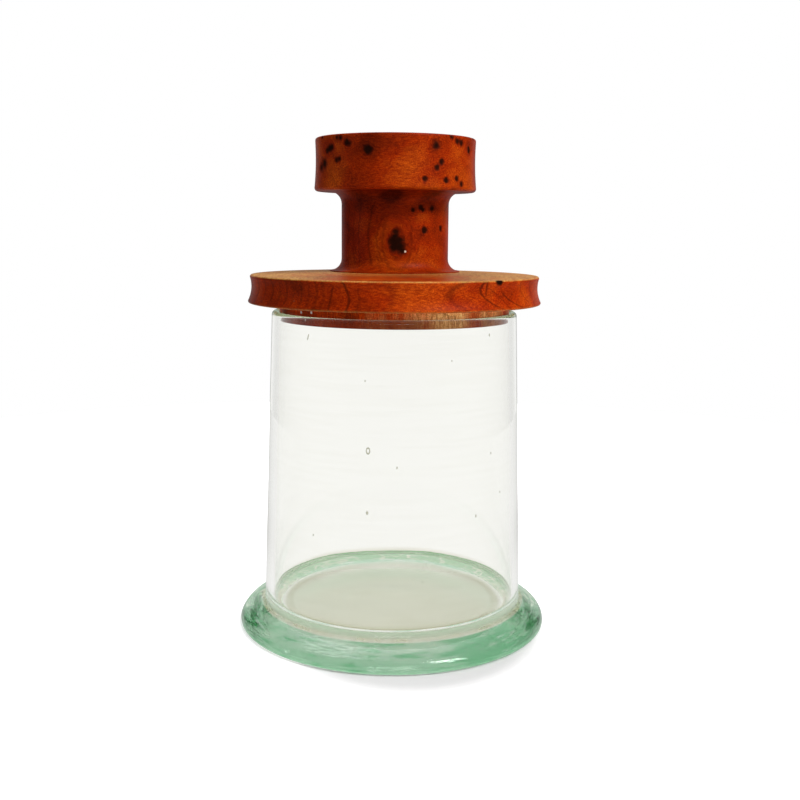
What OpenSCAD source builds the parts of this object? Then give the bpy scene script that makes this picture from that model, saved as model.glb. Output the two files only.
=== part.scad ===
// Blown glass jar on a welded foot, with a turned wooden lid.
// Millimetres, +Z up, origin on the table under the middle of the foot.

/* [Jar body] */
// Height of the rim above the table
jar_h = 143.7; // [115:0.1:175]
// Outer diameter at the rim
rim_d = 110; // [95:0.5:130]
// How much larger the outer radius is where the wall meets the foot
wall_flare = 4.4; // [0.5:0.1:7]
// Thickness of the glass wall
wall = 3.4; // [2.4:0.1:4.6]
// Thickness of the body's own floor
floor_t = 7.2; // [4:0.1:9]
// Radius of the inside corner between floor and wall
floor_corner_r = 2.5; // [1.5:0.1:9]
// Radius of the outside corner under the floor
body_corner_r = 3; // [1:0.1:5]

/* [Foot] */
// How far the foot spreads past the wall
foot_spread = 11.3; // [9.5:0.1:15]
// Thickness of the glass under the body's floor
sole_t = 5.6; // [4.4:0.1:8]
// Height to which the weld climbs up the body
weld_h = 5.6; // [4:0.1:8]
// Width of the narrow ledge on top of the weld
weld_lip = 0.5; // [0.3:0.05:0.9]
// Radius of the foot's upper edge
shoulder_r = 5.2; // [3.5:0.1:6]
// Radius of the foot's lower edge
toe_r = 1.5; // [0.8:0.1:2.2]
// Width of the ring that the foot stands on
stand_w = 14; // [8:0.5:24]
// Height of the hollow under the foot
kick_h = 2; // [0.6:0.1:3]

/* [Lid disc] */
// Gap that shows between the rim and the disc
disc_gap = 3.6; // [1:0.1:6]
// How far the lower lip of the disc reaches past the rim
disc_overhang = 10.5; // [6:0.1:16]
// How far the upper lip stands back from the lower one
disc_setback = 1.1; // [0.2:0.1:3]
// Thickness of the disc at its edge
disc_t = 12.3; // [8:0.1:18]
// Depth of the hollow in the disc's edge
disc_hollow = 1.05; // [0.4:0.05:2]
// Rise of the disc's top from its edge to the knob
disc_crown = 1.6; // [0.4:0.1:3]
// Radius of the two lips
lip_r = 0.8; // [0.4:0.1:1.4]

/* [Lid plug] */
// How far the plug goes down past the rim
plug_depth = 4; // [3:0.1:12]
// Lean of the plug's side, in degrees
plug_taper = 1.5; // [1:0.5:8]
// Gap between the plug and the narrowest place of the mouth
plug_clearance = 0.2; // [0.1:0.05:0.6]
// Radius of the plug's lower edge
plug_edge_r = 0.5; // [0.3:0.1:1.4]

/* [Knob] */
// Diameter of the neck
neck_d = 47.6; // [30:0.2:60]
// Length of the neck, from the disc to the cap
neck_h = 34.8; // [22:0.2:50]
// How far the cap reaches past the neck
cap_overhang = 12; // [9.5:0.1:18]
// Height of the cap at its edge
cap_h = 22.8; // [14:0.2:34]
// How much smaller the cap's radius is at the top
cap_setback = 0.5; // [0.1:0.1:2]
// Depth of the hollow in the cap's side
cap_hollow = 0.4; // [0.2:0.05:1.2]
// Rise of the cap's top
cap_crown = 0.8; // [0.4:0.1:3]
// Radius of the cap's edges
cap_edge_r = 1.5; // [0.8:0.1:2.5]
// Radius of the cove between neck and cap
cap_cove_r = 5.3; // [3:0.1:6.5]
// Radius of the cove at the foot of the neck
foot_cove_r = 5.2; // [3.5:0.1:9]
// Height of the narrow upright edge under that cove
foot_land = 0.4; // [0.2:0.1:1]
// Diameter of the tenon that holds the knob
tenon_d = 22; // [14:0.2:28]
// Wood left in the plug under the tenon's hole
plug_skin = 2.6; // [1.5:0.1:3.4]
// Room for glue round the tenon
glue_gap = 0.1; // [0.05:0.05:0.3]
// Room for glue under the tenon
tenon_end_gap = 0.5; // [0.2:0.1:1]

/* [Hidden] */
$fn = 128;
// Large flat arcs are drawn finer
arc_fn = 720;

// Colours as the object shows them
clear_glass = [0.88, 0.91, 0.87, 0.4];
green_glass = [0.55, 0.76, 0.65, 0.6];
disc_wood = [0.63, 0.25, 0.07];
plug_wood = [0.45, 0.18, 0.07];
knob_wood = [0.58, 0.20, 0.05];

// Heights of the jar, from the table up
floor_z = sole_t + floor_t;
weld_z = sole_t + weld_h;

// The wall leans inwards by a small angle from the weld to the rim
rim_r = rim_d / 2;
base_r = rim_r + wall_flare;
wall_lean = atan(wall_flare / (jar_h - weld_z));
wall_w = wall / cos(wall_lean);
rim_round_r = wall_w / 2;
rim_round_z = jar_h - rim_round_r;
rim_round_x = side_r(rim_r, jar_h, wall_lean, rim_round_z) - rim_round_r;
mouth_r = rim_round_x - rim_round_r;

// Foot
foot_r = base_r + foot_spread;
weld_r = base_r + weld_lip;
shoulder_x = foot_r - shoulder_r;
kick_r = foot_r - toe_r - stand_w;

// Lid, stacked up from the rim
disc_z = jar_h + disc_gap;
disc_r = rim_r + disc_overhang;
disc_top_r = disc_r - disc_setback;
disc_top_z = disc_z + disc_t;
seat_z = disc_top_z + disc_crown;
plug_z = jar_h - plug_depth;
neck_r = neck_d / 2;
knob_foot_r = neck_r + foot_cove_r;
cap_r = neck_r + cap_overhang;
cap_top_r = cap_r - cap_setback;
cap_z = seat_z + neck_h;
cap_top_z = cap_z + cap_h;
mortise_r = tenon_d / 2 + glue_gap;
mortise_z = plug_z + plug_skin;

// Radius at height z of a side that leans inwards by lean degrees and has ref_r at ref_z
function side_r(ref_r, ref_z, lean, z) = ref_r - (z - ref_z) * tan(lean);

// Half section of a solid with a flat bottom, a rounded lower corner and a straight leaning side
module leaning_section(ref_r, ref_z, lean, low_z, high_z, corner_r) {
    arc_z = low_z + corner_r;
    arc_x = side_r(ref_r, ref_z, lean, arc_z) - corner_r / cos(lean);
    touch_z = arc_z + corner_r * sin(lean);
    touch_r = side_r(ref_r, ref_z, lean, touch_z);
    high_r = side_r(ref_r, ref_z, lean, high_z);
    polygon([[0, low_z], [arc_x, low_z], [touch_r, touch_z], [high_r, high_z], [0, high_z]]);
    translate([arc_x, arc_z]) circle(corner_r);
}

// Shallow dome on the axis, of radius r at its base height z
module dome_section(r, h, z) {
    arc_r = (r * r + h * h) / (2 * h);
    intersection() {
        translate([0, z + h - arc_r]) circle(arc_r, $fn = arc_fn);
        translate([0, z]) square([r, h]);
    }
}

// Disc that hollows the side from low point a to high point b to the given depth
module side_hollow(a, b, depth) {
    span = norm(b - a);
    arc_r = (span * span / 4 + depth * depth) / (2 * depth);
    out = [b.y - a.y, a.x - b.x] / span;
    translate((a + b) / 2 + out * (arc_r - depth)) circle(arc_r, $fn = arc_fn);
}

// Half section of a turned block: rounded edges and a hollow side, from the axis or from a hole
module turned_section(hole_r, low_r, high_r, low_z, high_z, edge_r, hollow) {
    low_side = [low_r, low_z + edge_r];
    high_side = [high_r, high_z - edge_r];
    difference() {
        polygon([
            [hole_r, low_z], [low_r - edge_r, low_z], low_side,
            high_side, [high_r - edge_r, high_z], [hole_r, high_z]
        ]);
        side_hollow(low_side, high_side, hollow);
    }
    translate([low_r - edge_r, low_z + edge_r]) circle(edge_r);
    translate([high_r - edge_r, high_z - edge_r]) circle(edge_r);
}

// Outside of the blown body, as far up as its rounded rim
module body_outside() {
    leaning_section(rim_r, jar_h, wall_lean, sole_t, rim_round_z, body_corner_r);
}

// Blown body: floor, leaning wall and half-round rim
module jar_body() {
    color(clear_glass) rotate_extrude() {
        difference() {
            body_outside();
            leaning_section(rim_r - wall_w, jar_h, wall_lean, floor_z, jar_h, floor_corner_r);
        }
        intersection() {
            translate([rim_round_x, rim_round_z]) circle(rim_round_r);
            translate([mouth_r, rim_round_z]) square([wall_w, wall_w]);
        }
    }
}

// Foot: a roll that slopes from the weld to a rounded edge, with a hollow underside
module jar_foot() {
    weld_side = [weld_r - shoulder_x, weld_z - toe_r];
    slope = atan2(weld_side.y, weld_side.x) - acos(shoulder_r / norm(weld_side));
    slope_end = [shoulder_x + shoulder_r * cos(slope), toe_r + shoulder_r * sin(slope)];
    color(green_glass) rotate_extrude() difference() {
        union() {
            polygon([
                [0, 0], [foot_r - toe_r, 0], [foot_r, toe_r], slope_end, [weld_r, weld_z], [0, weld_z]
            ]);
            intersection() {
                translate([shoulder_x, toe_r]) circle(shoulder_r);
                translate([0, toe_r]) square([foot_r, shoulder_r]);
            }
            translate([foot_r - toe_r, toe_r]) circle(toe_r);
        }
        body_outside();
        dome_section(kick_r, kick_h, 0);
    }
}

// Disc: hollow edge between two lips, a top that rises to the knob's seat, and the tenon's hole
module lid_disc() {
    color(disc_wood) rotate_extrude() {
        turned_section(mortise_r, disc_r, disc_top_r, disc_z, disc_top_z, lip_r, disc_hollow);
        polygon([
            [mortise_r, disc_top_z], [disc_top_r - lip_r, disc_top_z],
            [knob_foot_r, seat_z], [mortise_r, seat_z]
        ]);
    }
}

// Plug: tapered stopper under the disc, with the blind end of the tenon's hole
module lid_plug() {
    color(plug_wood) rotate_extrude() difference() {
        leaning_section(mouth_r - plug_clearance, rim_round_z, -plug_taper, plug_z, disc_z, plug_edge_r);
        translate([0, mortise_z]) square([mortise_r, disc_z]);
    }
}

// Knob: cap, coved neck and tenon, turned from one block
module lid_knob() {
    foot_cove_z = seat_z + foot_land + foot_cove_r;
    tenon_z = mortise_z + tenon_end_gap;
    color(knob_wood) rotate_extrude() {
        translate([0, tenon_z]) square([tenon_d / 2, seat_z - tenon_z]);
        difference() {
            translate([0, seat_z]) square([knob_foot_r, foot_land + foot_cove_r]);
            translate([knob_foot_r, foot_cove_z]) circle(foot_cove_r);
        }
        translate([0, seat_z]) square([neck_r, neck_h]);
        difference() {
            translate([0, cap_z - cap_cove_r]) square([neck_r + cap_cove_r, cap_cove_r]);
            translate([neck_r + cap_cove_r, cap_z - cap_cove_r]) circle(cap_cove_r);
        }
        turned_section(0, cap_r, cap_top_r, cap_z, cap_top_z, cap_edge_r, cap_hollow);
        dome_section(cap_top_r - cap_edge_r, cap_crown, cap_top_z);
    }
}

jar_body();
jar_foot();
lid_disc();
lid_plug();
lid_knob();
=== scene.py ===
import math
import random

import bmesh
import bpy
import numpy as np
from mathutils import Matrix, Vector, noise


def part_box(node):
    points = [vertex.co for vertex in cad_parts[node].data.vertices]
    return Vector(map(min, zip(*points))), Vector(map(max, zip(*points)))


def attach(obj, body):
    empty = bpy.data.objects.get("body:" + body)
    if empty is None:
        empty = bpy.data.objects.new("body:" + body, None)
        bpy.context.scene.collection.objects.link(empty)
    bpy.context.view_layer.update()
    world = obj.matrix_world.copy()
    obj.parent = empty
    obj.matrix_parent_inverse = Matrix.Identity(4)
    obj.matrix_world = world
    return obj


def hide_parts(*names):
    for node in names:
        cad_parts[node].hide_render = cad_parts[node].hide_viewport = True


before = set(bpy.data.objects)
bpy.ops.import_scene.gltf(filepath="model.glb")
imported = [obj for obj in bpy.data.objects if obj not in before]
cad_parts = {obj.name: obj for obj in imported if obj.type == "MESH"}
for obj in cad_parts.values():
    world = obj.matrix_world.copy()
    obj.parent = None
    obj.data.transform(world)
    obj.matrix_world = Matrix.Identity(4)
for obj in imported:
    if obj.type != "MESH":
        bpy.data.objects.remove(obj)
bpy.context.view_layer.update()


# The camera stands straight in front of the jar, a little higher than its rim, and looks down on it
# slightly. It is rolled by a fraction of a degree, so the jar leans to the right.
picture_side = 800
focal_pixels = 1037
camera_place = Vector((0.0029, -0.4691, 0.1797))
camera_pitch = math.radians(9.34)
camera_roll = math.radians(0.5)

camera_data = bpy.data.cameras.new("photo_camera")
camera_data.sensor_width = 36
camera_data.lens = camera_data.sensor_width * focal_pixels / picture_side
camera_data.clip_start = 0.01
camera = bpy.data.objects.new("photo_camera", camera_data)
bpy.context.collection.objects.link(camera)
camera.matrix_world = (
    Matrix.Translation(camera_place)
    @ Matrix.Rotation(math.pi / 2 - camera_pitch, 4, "X")
    @ Matrix.Rotation(camera_roll, 4, "Z")
)
bpy.context.scene.camera = camera
bpy.context.scene.view_settings.view_transform = "Standard"


# The jar is blown from clear glass with a faint olive cast and stands on a foot of pale aqua glass,
# which was welded to it hot and pressed out to a round edge. The two are one body of glass, so they
# are one closed skin here, a little uneven as hand work is.
mm = 0.001


def node_corners(node):
    """Lowest and highest corner of a CAD node in mm, to the tenth that its sizes are given in."""
    return [[round(value / mm, 1) for value in corner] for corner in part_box(node)]


_, (_, _, jar_h) = node_corners("jar_body")
_, (foot_r, _, weld_z) = node_corners("jar_foot")
rim_r = 55.0
rim_round_r = 1.66
wall = 3.4
mouth_r = rim_r - wall
wall_flare = 4.4
base_r = rim_r + wall_flare
floor_z = 12.8
floor_r = 55.9
floor_corner_r = 2.5
weld_lip = 0.5
weld_r = base_r + weld_lip
weld_half_h = 0.1
weld_edge_r = 0.3
slope_z = 4.37
shoulder_r = 2.84
toe_r = 1.5
stand_w = 14.0
kick_r = foot_r - toe_r - stand_w
kick_h = 2.0
foot_in_r = 58.0
jar_step = 2.2
jar_cuts = 256


def rounded_section(corners, closed=False):
    """Half section as a line of (radius, height, rounding) corners, in millimetres."""
    line = bmesh.new()
    points = [line.verts.new((radius * mm, 0, height * mm)) for radius, height, _ in corners]
    for start, end in zip(points, points[1:]):
        line.edges.new((start, end))
    if closed:
        line.edges.new((points[-1], points[0]))
    for point, (_, _, rounding) in zip(points, corners):
        if rounding:
            bmesh.ops.bevel(
                line, geom=[point], offset=rounding * mm, offset_type="OFFSET", segments=8,
                profile=0.5, affect="VERTICES", material=-1,
            )
    return line


def split_long_edges(line, step, least_r=0.0, least_z=0.0):
    """Halves the edges that are longer than step, where they lie past a radius and a height."""
    while True:
        long_edges = [
            edge for edge in line.edges
            if edge.calc_length() > step * mm
            and min(v.co.x for v in edge.verts) >= least_r * mm
            and min(v.co.z for v in edge.verts) >= least_z * mm
        ]
        if not long_edges:
            return
        bmesh.ops.subdivide_edges(line, edges=long_edges, cuts=1)


def crown_face(line, height, reach, rise):
    """Domes the level face at a height, from nothing at radius reach to rise on the axis."""
    for point in line.verts:
        if abs(point.co.z - height * mm) < 0.01 * mm and point.co.x < reach * mm:
            point.co.z += rise * mm * (1 - (point.co.x / (reach * mm)) ** 2)


def turn_section(line, cuts):
    """Spins a half section into an eighth of a turn, doubles that three times and closes the solid."""
    bmesh.ops.spin(
        line, geom=line.verts[:] + line.edges[:], cent=(0, 0, 0), axis=(0, 0, 1), dvec=(0, 0, 0),
        angle=math.pi / 4, steps=cuts // 8, use_merge=False, use_duplicate=False,
    )
    for angle in (math.pi / 4, math.pi / 2, math.pi):
        copy = bmesh.ops.duplicate(line, geom=line.verts[:] + line.edges[:] + line.faces[:])["geom"]
        copied = [part for part in copy if isinstance(part, bmesh.types.BMVert)]
        bmesh.ops.rotate(line, verts=copied, cent=(0, 0, 0), matrix=Matrix.Rotation(angle, 3, "Z"))
    bmesh.ops.remove_doubles(line, verts=line.verts[:], dist=0.002 * mm)
    bmesh.ops.recalc_face_normals(line, faces=line.faces[:])
    for face in line.faces:
        face.smooth = True
    line.normal_update()
    return line


def piece_from(solid, name):
    """Makes an object at the origin from a finished solid."""
    mesh = bpy.data.meshes.new(name)
    solid.to_mesh(mesh)
    solid.free()
    piece = bpy.data.objects.new(name, mesh)
    bpy.context.collection.objects.link(piece)
    return piece


glass_line = rounded_section([
    (0, floor_z, 0),
    (floor_r, floor_z, floor_corner_r),
    (mouth_r, jar_h, rim_round_r),
    (rim_r, jar_h, rim_round_r),
    (base_r, weld_z + weld_half_h, 0),
    (weld_r, weld_z - weld_half_h, weld_edge_r),
    (foot_r, slope_z, shoulder_r),
    (foot_r, 0, toe_r),
    (kick_r, 0, 0),
    (0, 0, 0),
])
split_long_edges(glass_line, jar_step)
crown_face(glass_line, 0, kick_r, kick_h)
glass = turn_section(glass_line, jar_cuts)

# The wall sways a little and the foot more, all drawn in so that the skin stays within the true size.
# The weld lies lower at the back than in front.
skin_inset = 0.07
wall_sway = 0.09
foot_sway = 0.22
foot_ripple = 0.10
sway_pitch = 34
ripple_pitch = Vector((70, 70, 150))
ripple_shift = Vector((7, 3, 1))
foot_blend = 4
lift_blend = 2
weld_drop = 1.3
weld_drop_blend = 5
back_blend = 40


def clipped(value):
    """Keeps a number between 0 and 1."""
    return min(max(value, 0), 1)


for point in glass.verts:
    in_foot = clipped((weld_z * mm - point.co.z) / (foot_blend * mm))
    lifted = min(point.co.z / (lift_blend * mm), 1)
    slow = noise.noise(point.co * sway_pitch)
    quick = noise.noise(point.co * ripple_pitch + ripple_shift)
    sway = wall_sway * slow * (1 - in_foot) + (foot_sway * slow + foot_ripple * quick) * in_foot * lifted
    point.co -= point.normal * mm * (sway + skin_inset)
    back = clipped(point.co.y / (back_blend * mm))
    weld_near = max(1 - abs(point.co.z / mm - weld_z) / weld_drop_blend, 0)
    if point.co.xy.length > foot_in_r * mm:
        point.co.z -= weld_drop * mm * back * weld_near

# Clear glass above, aqua glass in the foot, and a duller patch of clear glass under the floor
sole_r = 52.5
under_z = 3
aqua_top_z = weld_z - 0.9
for face in glass.faces:
    middle = face.calc_center_median() / mm
    reach = middle.xy.length
    if middle.z < under_z and reach < sole_r:
        face.material_index = 2
    elif middle.z < under_z or (middle.z < aqua_top_z and reach > foot_in_r):
        face.material_index = 1
jar_glass = piece_from(glass, "jar_glass")


def shader_node(tree, kind, inputs=(), **settings):
    """Adds a node. An input is a socket to link or a plain value, by name or by number."""
    node = tree.nodes.new(kind)
    for setting, value in settings.items():
        setattr(node, setting, value)
    for key, value in dict(inputs).items():
        if isinstance(value, bpy.types.NodeSocket):
            tree.links.new(value, node.inputs[key])
        else:
            node.inputs[key].default_value = value
    return node


def sum_up(tree, operation, first, second=0.0, third=0.0, clamp=False):
    """Adds a Math node and hands over its result."""
    inputs = {0: first, 1: second, 2: third}
    return shader_node(tree, "ShaderNodeMath", inputs, operation=operation, use_clamp=clamp).outputs[0]


def off_by(tree, value, centre):
    """How far a value lies from a centre, to either side."""
    return sum_up(tree, "ABSOLUTE", sum_up(tree, "SUBTRACT", value, centre))


def vector_sum(tree, operation, first, second=(0.0, 0.0, 0.0)):
    """Adds a Vector Math node and hands over its vector, or the length that it measures."""
    node = shader_node(tree, "ShaderNodeVectorMath", {0: first, 1: second}, operation=operation)
    return node.outputs["Value" if operation in ("LENGTH", "DISTANCE") else "Vector"]


def mixed(tree, factor, first, second, blend_type="MIX"):
    """Mixes two colours and hands over the result."""
    inputs = {0: factor, 6: first, 7: second}
    node = shader_node(tree, "ShaderNodeMix", inputs, data_type="RGBA", blend_type=blend_type)
    return node.outputs[2]


def ranged(tree, value, low, high, bottom=0.0, top=1.0):
    """Maps low to bottom and high to top, with soft ends, and hands over the result."""
    inputs = {"Value": value, 1: low, 2: high, 3: bottom, 4: top}
    node = shader_node(tree, "ShaderNodeMapRange", inputs, interpolation_type="SMOOTHSTEP")
    return node.outputs[0]


def noise_at(tree, place, scale, detail):
    """Soft noise at a place, about 0.5 on average."""
    inputs = {"Vector": place, "Scale": scale, "Detail": detail}
    return shader_node(tree, "ShaderNodeTexNoise", inputs).outputs[0]


def own_place(tree):
    """Place on the piece, in its own coordinates."""
    return shader_node(tree, "ShaderNodeTexCoord").outputs["Object"]


def axis_reach(tree, place):
    """Distance of a place from the jar's axis."""
    return vector_sum(tree, "LENGTH", vector_sum(tree, "MULTIPLY", place, (1.0, 1.0, 0.0)))


def kept_value(tree, name):
    """Number that was kept under a name at every point of a piece."""
    return shader_node(tree, "ShaderNodeAttribute", attribute_name=name).outputs["Fac"]


def empty_material(name):
    """A new material with nothing but an output."""
    material = bpy.data.materials.new(name)
    material.use_nodes = True
    material.node_tree.nodes.clear()
    shader_node(material.node_tree, "ShaderNodeOutputMaterial")
    return material, material.node_tree


def photo_ray(px, py):
    """Way that the camera looks through a pixel of the photo's frame."""
    half = picture_side / 2
    way = Vector(((px - half) / focal_pixels, (half - py) / focal_pixels, -1))
    return camera.matrix_world.to_3x3() @ way


def seen_on_post(px, py, radius):
    """Place on an upright post of that radius in mm which the photo shows at a pixel."""
    ray = photo_ray(px, py)
    a = ray.xy.dot(ray.xy)
    b = ray.xy.dot(camera_place.xy)
    c = camera_place.xy.dot(camera_place.xy) - (radius * mm) ** 2
    return camera_place + ray * ((-b - math.sqrt(max(b * b - a * c, 0))) / a)


def seen_on_level(px, py, height):
    """Place at that height in mm which the photo shows at a pixel."""
    ray = photo_ray(px, py)
    return camera_place + ray * ((height * mm - camera_place.z) / ray.z)


def clouded(piece, clouds, radius):
    """Sum of soft clouds at every point, each given by its place on a post of that radius in mm."""
    places = np.array([point.co for point in piece.data.vertices])
    shade = np.zeros(len(places))
    for px, py, reach, change in clouds:
        away = np.linalg.norm(places - np.array(seen_on_post(px, py, radius)), axis=1)
        shade += change * np.exp(-((away / (reach * mm)) ** 2))
    return shade


def keep_value(piece, name, values):
    """Keeps one number per point of a piece as an attribute."""
    piece.data.attributes.new(name, "FLOAT", "POINT").data.foreach_set("value", values)


# Deeper and paler patches of the foot that the photo shows: place in its frame, reach in mm, change
# The pale rows along the lower edge and just above it are painted highlight lines
foot_tint_and_glints = [
    (479, 648, 10, 0.30), (462, 637, 8, 0.20), (517, 627, 12, 0.22), (526, 610, 10, 0.20),
    (330, 650, 7, -0.22), (310, 649, 6, -0.18), (290, 628, 9, 0.04), (395, 655, 10, 0.06),
    (440, 655, 6, -0.20), (270, 641, 7, 0.02), (380, 669, 3, -0.45), (390, 669.3, 3, -0.45),
    (400, 669.3, 3, -0.45), (410, 669, 3, -0.45), (418, 668.6, 3, -0.35), (296, 642.5, 2.6, -0.30),
    (306, 645, 2.6, -0.30), (317, 648, 3, -0.35), (327, 649.3, 3, -0.40), (337, 650.3, 3, -0.40),
    (347, 651, 2.6, -0.30), (357, 651.5, 2.6, -0.30), (367, 652, 2.6, -0.30), (377, 652.3, 2.6, -0.30),
    (276, 633, 4, 0.16), (312, 653, 4, 0.18), (480, 655, 5, 0.16), (505, 640, 6, 0.18),
]
foot_cloud_r = foot_r - 2
back_depth = 0.45
back_share = [clipped(point.co.y / (back_blend * mm)) for point in jar_glass.data.vertices]
foot_tone_and_glints = clouded(jar_glass, foot_tint_and_glints, foot_cloud_r) + back_depth * np.array(back_share)
keep_value(jar_glass, "tone_and_painted_light", foot_tone_and_glints)

# Seeds that the photo shows in the wall: place in its frame, size in mm, radius of the ring if hollow
wall_seeds = [
    (308.4, 335.5, 0.5, 0), (308, 337, 0.5, 0), (307.5, 338.7, 0.5, 0), (368, 451, 0.35, 0.7),
    (367, 513, 0.8, 0), (397, 468, 0.5, 0), (313, 535, 0.5, 0), (365, 381, 0.4, 0), (489.5, 335, 0.6, 0),
    (452, 361, 0.4, 0), (491, 453, 0.5, 0), (500, 492, 0.5, 0), (476, 516, 0.6, 0),
]
# and in the floor
floor_seeds = [
    (422.7, 581.5, 0.9, 0), (427, 577, 0.6, 0), (406, 565.5, 0.7, 0), (402, 564.5, 0.6, 0),
    (455, 571, 0.8, 0), (480, 576, 0.7, 0), (315, 578, 0.5, 0), (340, 590, 0.4, 0),
]
seed_places = []
for px, py, size, ring in wall_seeds:
    height = seen_on_post(px, py, rim_r).z
    wall_r = rim_r + (jar_h * mm - height) / (jar_h * mm - weld_z * mm) * (base_r - rim_r)
    seed_places.append((seen_on_post(px, py, wall_r), size, ring))
for px, py, size, ring in floor_seeds:
    seed_places.append((seen_on_level(px, py, floor_z), size, ring))

glass_ior = 1.45
ripple_depth = 0.6
dirt_roughness = 0.30
weld_dirt_z = weld_z - 0.3
corner_dirt_r = floor_r - 1.2
corner_dirt_z = floor_z + 0.6
residue_r = sole_r - 4.0
seed_squat = (1.0, 1.0, 0.6)
seed_brown = (0.25, 0.25, 0.16, 1)
weld_tan = (0.84, 0.80, 0.62, 1)
corner_tan = (0.64, 0.62, 0.48, 1)
residue_tan = (0.50, 0.48, 0.30, 1)
white = (1.0, 1.0, 1.0, 1)


def ring_away(tree, reach, height, ring_r, ring_z):
    """Distance from a ring round the axis, whose radius and height are given in mm."""
    off = shader_node(tree, "ShaderNodeCombineXYZ", {
        0: sum_up(tree, "SUBTRACT", reach, ring_r * mm),
        2: sum_up(tree, "SUBTRACT", height, ring_z * mm),
    })
    return vector_sum(tree, "LENGTH", off.outputs[0])


def blown_glass(
        name, tint, deep_tint, cast, density, roughness, shine, ripple, streak,
        ripple_glint=0.0, residue=0.0, seeds=()):
    """Polished glass with fine blowing lines, seeds, a rough tan weld, and its own colour in the depth."""
    material, tree = empty_material(name)
    place = own_place(tree)
    reach = axis_reach(tree, place)
    height = shader_node(tree, "ShaderNodeSeparateXYZ", {0: place}).outputs["Z"]
    stretched = shader_node(tree, "ShaderNodeMapping", {"Vector": place, "Scale": ripple}).outputs[0]
    lines = noise_at(tree, stretched, 1.0, 3.0)
    patches = noise_at(tree, place, 75.0, 3.0)

    # Paler and deeper streaks, and thin white lines painted as glints along the fine ripples
    deep = sum_up(tree, "MULTIPLY_ADD", patches, 0.4, kept_value(tree, "tone_and_painted_light"))
    deep = sum_up(tree, "MULTIPLY_ADD", lines, 1.1, deep)
    colour = mixed(tree, ranged(tree, deep, 0.62, 0.95), tint, deep_tint)
    if ripple_glint:
        ripple_glint_line = ranged(tree, off_by(tree, lines, 0.5), 0.0, 0.04, ripple_glint, 0.0)
        ripple_glint_mark = sum_up(tree, "MULTIPLY", ripple_glint_line, ranged(tree, patches, 0.42, 0.52))
        colour = mixed(tree, ripple_glint_mark, colour, white)

    # Tan dirt in a ring under the floor, or else along the weld and in the corner of the floor
    if residue:
        residue_away = off_by(tree, reach, residue_r * mm)
        residue_life = ranged(tree, patches, 0.38, 0.56, 0.4, 1.0)
        residue_mark = ranged(tree, residue_away, 0.8 * mm, 3.0 * mm, residue, 0.0)
        residue_mark = sum_up(tree, "MULTIPLY", residue_mark, residue_life)
        colour = mixed(tree, residue_mark, colour, residue_tan)
    else:
        weld_away = ring_away(tree, reach, height, weld_r, weld_dirt_z)
        weld_life = ranged(tree, patches, 0.36, 0.60, 0.35, 1.0)
        weld_mark = ranged(tree, weld_away, 0.2 * mm, 1.7 * mm, 1.0, 0.0)
        weld_mark = sum_up(tree, "MULTIPLY", weld_mark, weld_life)
        colour = mixed(tree, weld_mark, colour, weld_tan)
        corner_away = ring_away(tree, reach, height, corner_dirt_r, corner_dirt_z)
        corner_mark = ranged(tree, corner_away, 0.8 * mm, 3.2 * mm, 0.85, 0.0)
        colour = mixed(tree, corner_mark, colour, corner_tan)
        rough_mark = sum_up(tree, "MAXIMUM", weld_mark, corner_mark)
        roughness = sum_up(tree, "MULTIPLY_ADD", rough_mark, dirt_roughness, roughness)

    seed_mark = 0.0
    for seed_place, size, ring in seeds:
        off = vector_sum(tree, "SUBTRACT", place, seed_place)
        away = vector_sum(tree, "LENGTH", vector_sum(tree, "MULTIPLY", off, seed_squat))
        if ring:
            away = off_by(tree, away, ring * mm)
        seed = ranged(tree, away, 0.3 * size * mm, size * mm, 1.0, 0.0)
        seed_mark = sum_up(tree, "MAXIMUM", seed_mark, seed)
    if seeds:
        colour = mixed(tree, seed_mark, colour, seed_brown)

    bump = shader_node(
        tree, "ShaderNodeBump", {"Strength": streak, "Distance": ripple_depth * mm, "Height": lines})
    surface = shader_node(tree, "ShaderNodeBsdfPrincipled", {
        "Base Color": colour,
        "Roughness": roughness,
        "IOR": glass_ior,
        "Specular Tint": shine,
        "Transmission Weight": 1.0,
        "Normal": bump.outputs[0],
    })
    depth = shader_node(tree, "ShaderNodeVolumeAbsorption", {"Color": cast, "Density": density})
    output = tree.nodes["Material Output"]
    tree.links.new(surface.outputs[0], output.inputs["Surface"])
    tree.links.new(depth.outputs[0], output.inputs["Volume"])
    return material


clear_cast = (0.60, 0.64, 0.25, 1)
aqua_cast = (0.11, 0.64, 0.30, 1)
dull = (0.35, 0.35, 0.35, 1)
long_ripple = (28.0, 28.0, 600.0)
short_ripple = (75.0, 75.0, 850.0)
jar_glass.data.materials.append(blown_glass(
    "clear_glass", tint=(0.985, 0.985, 0.968, 1), deep_tint=(0.972, 0.972, 0.950, 1), cast=clear_cast,
    density=3.0, roughness=0.0, shine=dull, ripple=long_ripple, streak=0.004, seeds=seed_places))
jar_glass.data.materials.append(blown_glass(
    "aqua_glass", tint=(0.89, 0.96, 0.85, 1), deep_tint=(0.29, 0.66, 0.39, 1), cast=aqua_cast,
    density=4.5, roughness=0.08, shine=white, ripple=short_ripple, streak=0.60, ripple_glint=0.9))
jar_glass.data.materials.append(blown_glass(
    "sole_glass", tint=(0.98, 0.98, 0.93, 1), deep_tint=(0.90, 0.90, 0.82, 1), cast=clear_cast,
    density=3.0, roughness=0.35, shine=dull, ripple=long_ripple, streak=0.05, residue=0.6))
# Light runs along inside the thick foot and crosses many walls before it leaves the jar
bpy.context.scene.cycles.max_bounces = 96
bpy.context.scene.cycles.glossy_bounces = 80
bpy.context.scene.cycles.transmission_bounces = 48
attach(jar_glass, "jar")
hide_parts("jar_body", "jar_foot")


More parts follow.
